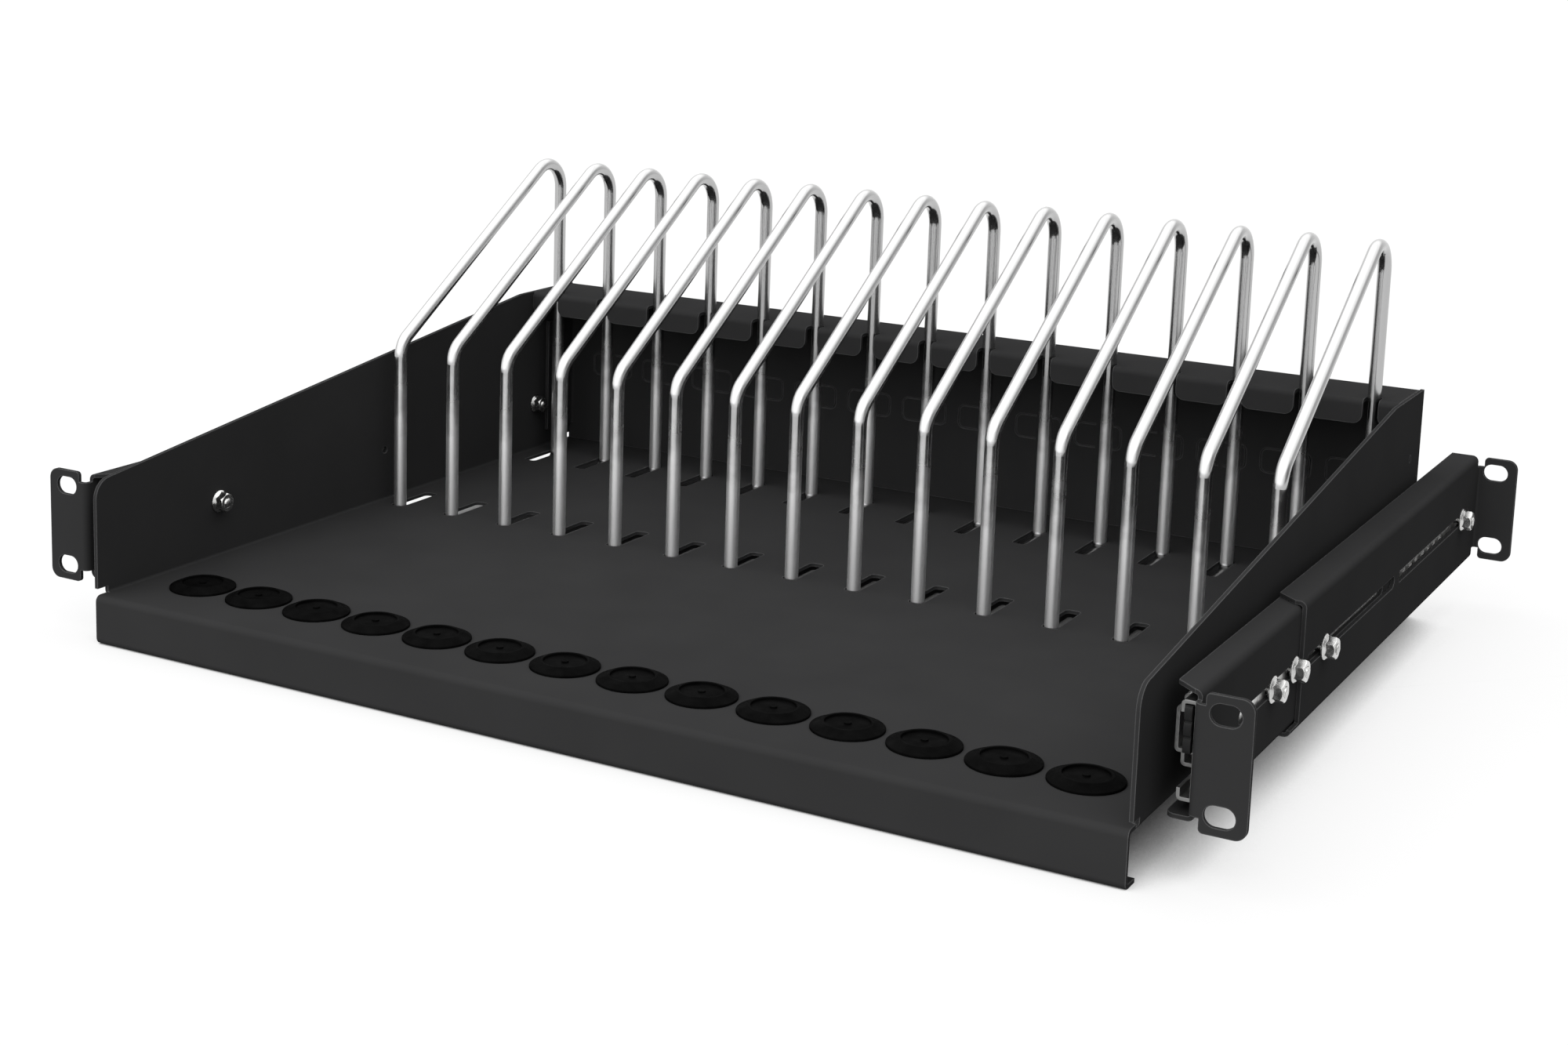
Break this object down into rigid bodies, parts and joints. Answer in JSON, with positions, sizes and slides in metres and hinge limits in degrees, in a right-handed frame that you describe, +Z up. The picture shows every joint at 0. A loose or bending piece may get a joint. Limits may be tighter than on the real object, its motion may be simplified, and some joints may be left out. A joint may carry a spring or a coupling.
{
  "type": "sliding rack shelf with wire dividers",
  "caption": "Sliding 19-inch rack shelf with upright wire dividers, a rear comb, grommets in the tray floor and ball bearing slides between depth-adjustable brackets.",
  "frame": {"origin": "middle of the four front rack slots, on the front face of the front ears", "axes": "+X to the right seen from the front, +Y back into the rack, +Z up"},
  "size_m": [0.4826, 0.3744, 0.1637],
  "materials": {
    "black_paint": "fine textured black powder coat",
    "bright_wire": "bright plated wire",
    "rubber": "matt moulded rubber",
    "zinc_steel": "bright zinc plate",
    "ball_steel": "polished steel",
    "fastener_zinc": "zinc plate",
    "black_plastic": "moulded black plastic"
  },
  "bodies": {
    "rack_rails": {"front_bracket_left": "black_paint", "front_bracket_right": "black_paint", "slide_outer_left": "zinc_steel", "slide_outer_right": "zinc_steel", "bracket_studs_left": "fastener_zinc", "bracket_studs_right": "fastener_zinc", "bracket_nuts_left": "fastener_zinc", "bracket_nuts_right": "fastener_zinc"},
    "tray": {"tray_pan": "black_paint", "rear_comb": "black_paint", "comb_rivets": "black_paint", "wire_divider_01": "bright_wire", "wire_divider_02": "bright_wire", "wire_divider_03": "bright_wire", "wire_divider_04": "bright_wire", "wire_divider_05": "bright_wire", "wire_divider_06": "bright_wire", "wire_divider_07": "bright_wire", "wire_divider_08": "bright_wire", "wire_divider_09": "bright_wire", "wire_divider_10": "bright_wire", "wire_divider_11": "bright_wire", "wire_divider_12": "bright_wire", "wire_divider_13": "bright_wire", "wire_divider_14": "bright_wire", "wire_divider_15": "bright_wire", "cable_grommet_01": "rubber", "cable_grommet_02": "rubber", "cable_grommet_03": "rubber", "cable_grommet_04": "rubber", "cable_grommet_05": "rubber", "cable_grommet_06": "rubber", "cable_grommet_07": "rubber", "cable_grommet_08": "rubber", "cable_grommet_09": "rubber", "cable_grommet_10": "rubber", "cable_grommet_11": "rubber", "cable_grommet_12": "rubber", "cable_grommet_13": "rubber", "cable_grommet_14": "rubber", "slide_inner_left": "zinc_steel", "slide_inner_right": "zinc_steel", "tray_studs_left": "fastener_zinc", "tray_studs_right": "fastener_zinc", "tray_nuts_left": "fastener_zinc", "tray_nuts_right": "fastener_zinc"},
    "rear_rail_left": {"rear_bracket_left": "black_paint"},
    "middle_member_left": {"slide_middle_left": "zinc_steel", "slide_bumper_left": "black_plastic"},
    "outer_cage_left": {"outer_ball_cage_left": "zinc_steel", "outer_balls_left": "ball_steel"},
    "inner_cage_left": {"inner_ball_cage_left": "zinc_steel", "inner_balls_left": "ball_steel"},
    "rear_rail_right": {"rear_bracket_right": "black_paint"},
    "middle_member_right": {"slide_middle_right": "zinc_steel", "slide_bumper_right": "black_plastic"},
    "outer_cage_right": {"outer_ball_cage_right": "zinc_steel", "outer_balls_right": "ball_steel"},
    "inner_cage_right": {"inner_ball_cage_right": "zinc_steel", "inner_balls_right": "ball_steel"}
  },
  "joints": [
    {"name": "tray_slide", "type": "slide", "parent": "rack_rails", "child": "tray", "axis": [0, -1, 0], "range_m": [0, 0.35]},
    {"name": "middle_member_slide_left", "type": "slide", "parent": "rack_rails", "child": "middle_member_left", "axis": [0, -1, 0], "range_m": [0, 0.175]},
    {"name": "outer_cage_slide_left", "type": "slide", "parent": "rack_rails", "child": "outer_cage_left", "axis": [0, -1, 0], "range_m": [0, 0.0875]},
    {"name": "inner_cage_slide_left", "type": "slide", "parent": "rack_rails", "child": "inner_cage_left", "axis": [0, -1, 0], "range_m": [0, 0.2625]},
    {"name": "depth_adjust_left", "type": "slide", "parent": "rack_rails", "child": "rear_rail_left", "axis": [0, 1, 0], "range_m": [0, 0.018]},
    {"name": "middle_member_slide_right", "type": "slide", "parent": "rack_rails", "child": "middle_member_right", "axis": [0, -1, 0], "range_m": [0, 0.175]},
    {"name": "outer_cage_slide_right", "type": "slide", "parent": "rack_rails", "child": "outer_cage_right", "axis": [0, -1, 0], "range_m": [0, 0.0875]},
    {"name": "inner_cage_slide_right", "type": "slide", "parent": "rack_rails", "child": "inner_cage_right", "axis": [0, -1, 0], "range_m": [0, 0.2625]},
    {"name": "depth_adjust_right", "type": "slide", "parent": "rack_rails", "child": "rear_rail_right", "axis": [0, 1, 0], "range_m": [0, 0.018]}
  ],
  "couplings": [
    {"joint": "middle_member_slide_left", "follows": "tray_slide", "ratio": 0.5},
    {"joint": "outer_cage_slide_left", "follows": "tray_slide", "ratio": 0.25},
    {"joint": "inner_cage_slide_left", "follows": "tray_slide", "ratio": 0.75},
    {"joint": "middle_member_slide_right", "follows": "tray_slide", "ratio": 0.5},
    {"joint": "outer_cage_slide_right", "follows": "tray_slide", "ratio": 0.25},
    {"joint": "inner_cage_slide_right", "follows": "tray_slide", "ratio": 0.75}
  ]
}
